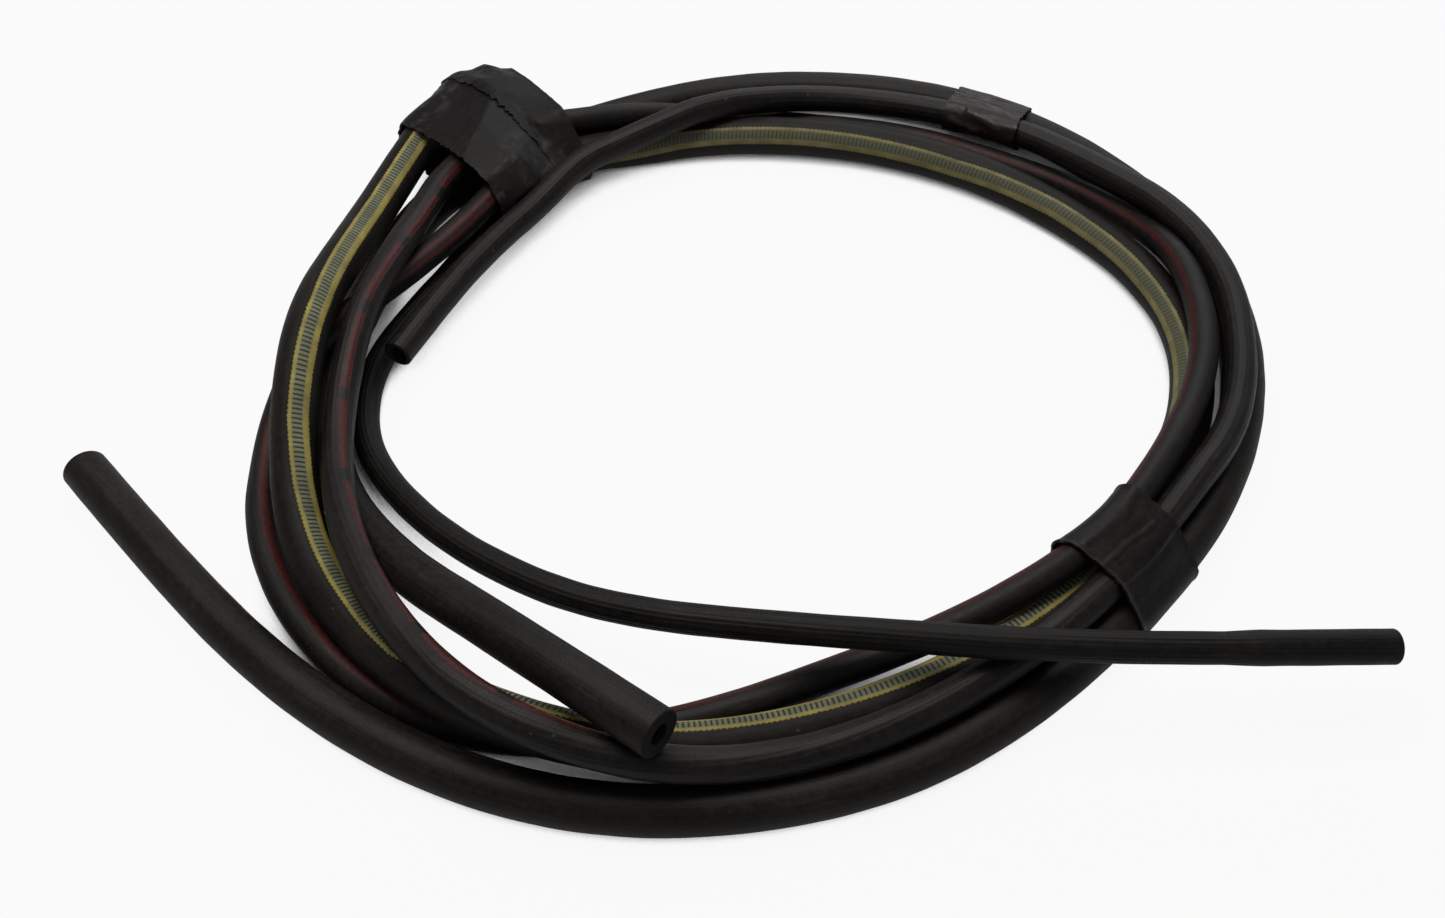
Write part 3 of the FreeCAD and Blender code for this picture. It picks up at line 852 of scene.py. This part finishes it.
# %% Roll the front wrap
FRONT_CREASES = [
    [(0.0, 62), (0.5, 58), (1.0, 66)], [(0.1, 128), (0.6, 122), (1.0, 130)], [(0.0, 95), (0.4, 99), (0.8, 92)],
]


def front_relief(angle, share, reach):
    """Fold the front wrap along its middle and lift its first end to a lip."""
    crest = creases(angle, share, FRONT_CREASES, 4.0)
    lip = np.exp(-(share / 0.035) ** 2) + 0.6 * np.exp(-((1.0 - share) / 0.04) ** 2)
    low = ripple(angle, share, 3.0, 61.0) * 0.00022 + ripple(angle, share, 12.0, 65.0) * 0.00004
    slide = torn_edge(angle, share, 0.0006, 0.0006, 62.0)
    # The lip, and the folds more weakly, are marked for a reddish-brown pale tint, which is a painted highlight on
    # the folded edge.
    return crest * 0.00025 + lip * 0.0005 + low, slide, np.maximum(lip, crest * 0.5)


front_bundle = held(("plain", PLAIN_RADIUS, 0.30, 0.60), ("band", BAND_RADIUS, 0.45, 0.75),
                    ("dash", DASH_RADIUS, 0.40, 0.70), ("line", LINE_RADIUS, 0.40, 0.70))
front_wrap = roll_tape("tape_wrap_front_skin", front_bundle, FRONT_TAPE_AT, (FRONT_TAPE_TURN, FRONT_TAPE_TURN),
                       -HALF_TAPE, HALF_TAPE, 44, TAPE_THICKNESS, front_relief)

# %% [markdown]
# ## Tape rubber
#
# Tape is smoother than hose, with a fine grain and small pits. Where it turns over a hose or is stretched it gets a
# paler, warm tint, partly scuffs and partly a painted highlight, and a gloss of its own. The pieces keep where this
# tint falls in an attribute of their own, so the tint lies on the real crests.

# %% Make the tape rubbers
def tape_rubber(name, dark, light, scuff_and_highlight_tint, gloss, worn_gloss, level):
    """Make a tape whose crests get a paler tint, partly wear and partly a painted highlight, and a gloss of their
    own.
    """
    material, tree = new_material(name)
    made = use_group(tree, RUBBER, Dark=dark, Light=light, Dust=0.35, Lines=0.0, Grain=0.35, Gloss=gloss)
    place = put(tree, "TexCoord").outputs["Object"]
    crest = put(tree, "Attribute", attribute_name="worn").outputs["Fac"]
    patchy = fade(tree, cloud(tree, place, 160.0, 4.0), 0.48, 0.74)
    crest = calc(tree, "MULTIPLY", fade(tree, crest, 0.4, 1.0), patchy)
    # The pale tint on the crests is partly wear and partly a painted highlight.
    color = blend(tree, crest, made["Color"], scuff_and_highlight_tint)
    rough = calc(tree, "ADD", made["Roughness"], calc(tree, "MULTIPLY", crest, worn_gloss - gloss))
    pits = cloud(tree, place, 330.0, 3.0)
    height = calc(tree, "ADD", made["Height"], calc(tree, "MULTIPLY", pits, 0.8))
    finish_material(name, color, rough, height, 0.4, 0.0003, level)
    return material


# The fourth colour of each tape is its crest tint: on the block partly scuffs and partly a painted highlight, on
# the back wrap a painted warm sheen, on the front wrap a painted reddish-brown highlight.
block_skin = tape_rubber("block_tape", (0.0075, 0.006, 0.0052, 1), (0.0165, 0.0132, 0.0112, 1),
                         (0.055, 0.05, 0.047, 1), 0.46, 0.42, 0.14)
back_skin = tape_rubber("back_tape", (0.0095, 0.006, 0.004, 1), (0.021, 0.0135, 0.0095, 1),
                        (0.085, 0.05, 0.036, 1), 0.42, 0.26, 0.3)
front_skin = tape_rubber("front_tape", (0.0075, 0.006, 0.0055, 1), (0.018, 0.0138, 0.0115, 1),
                         (0.075, 0.046, 0.036, 1), 0.42, 0.3, 0.18)
TAPES = [
    (lower_lap, block_skin, "tape_block_lower_lap"), (upper_lap, block_skin, "tape_block_upper_lap"),
    (back_wrap, back_skin, "tape_wrap_back"), (front_wrap, front_skin, "tape_wrap_front"),
]
for piece, skin, node in TAPES:
    piece.data.materials.append(skin)
    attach(piece, "root")
    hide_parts(node)

# %% [markdown]
# ## Floor and light
#
# The coil lies on a plain pale floor. The floor is bright white to the camera, which a product picture has, while
# the hoses still get its real, softer light. In a narrow gap between hoses the white fades out, because little
# light gets down there. One broad lamp overhead and a little behind gives the long soft shine on the hoses' tops,
# and a cool world fills the rest.

# %% Lay the floor
GLOW_TO_CAMERA, GLOW_TO_REFLECTIONS = 0.93, 0.25
GAP_REACH, GAP_DARK, GAP_OPEN = 0.024, 0.2, 0.38

bpy.ops.object.select_all(action="DESELECT")
bpy.ops.mesh.primitive_plane_add(size=8.0, location=(0.0, 0.0, 0.0))
floor = bpy.context.active_object
floor.name = "floor"
bpy.ops.object.transform_apply(location=True, rotation=True, scale=True)
floor_paint, tree = new_material("floor_paint")
shader = tree.nodes["Principled BSDF"]
shader.inputs["Base Color"].default_value = (0.55, 0.55, 0.55, 1)
shader.inputs["Roughness"].default_value = 0.9
shader.inputs["Specular IOR Level"].default_value = 0.1
glow = put(tree, "Emission", {"Color": (1, 1, 1, 1), "Strength": 1.0})
seen = put(tree, "LightPath").outputs
close = put(tree, "AmbientOcclusion", {"Distance": GAP_REACH}, samples=8).outputs["AO"]
open_floor = fade(tree, close, GAP_DARK, GAP_OPEN)
shown = calc(tree, "ADD", calc(tree, "MULTIPLY", seen["Is Camera Ray"], GLOW_TO_CAMERA),
             calc(tree, "MULTIPLY", seen["Is Glossy Ray"], GLOW_TO_REFLECTIONS))
share_of_glow = calc(tree, "MULTIPLY", shown, open_floor)
both = put(tree, "MixShader", {0: share_of_glow, 1: shader.outputs[0], 2: glow.outputs[0]})
tree.links.new(both.outputs[0], tree.nodes["Material Output"].inputs["Surface"])
floor.data.materials.append(floor_paint)

# %% Light the table
world = bpy.data.worlds.new("studio")
bpy.context.scene.world = world
world.use_nodes = True
tree = world.node_tree
background = tree.nodes["Background"]
rays = put(tree, "LightPath").outputs
tint = blend(tree, rays["Is Camera Ray"], (0.17, 0.18, 0.20, 1), (1, 1, 1, 1))
tree.links.new(tint, background.inputs["Color"])
background.inputs["Strength"].default_value = 1.0


def hang_lamp(name, place, aim, size, power, tint):
    """Hang a rectangular lamp and turn it to its aim."""
    data = bpy.data.lights.new(name, "AREA")
    data.shape = "RECTANGLE"
    data.size, data.size_y = size
    data.energy = power
    data.color = tint
    lamp = bpy.data.objects.new(name, data)
    bpy.context.scene.collection.objects.link(lamp)
    lamp.location = place
    lamp.rotation_euler = (Vector(aim) - Vector(place)).to_track_quat("-Z", "Y").to_euler()


hang_lamp("overhead_lamp", (-0.15, 0.30, 1.15), (0.0, 0.0, 0.0), (1.0, 0.5), 9.0, (1.0, 0.97, 0.92))
hang_lamp("window_lamp", (0.5, 1.3, 0.7), (0.0, 0.1, 0.0), (1.2, 0.8), 5.0, (0.88, 0.94, 1.0))
bpy.context.scene.view_settings.view_transform = "Standard"

# %% [markdown]
# ## Finish
#
# The view layer is brought up to date.

# %% Finish
bpy.context.view_layer.update()
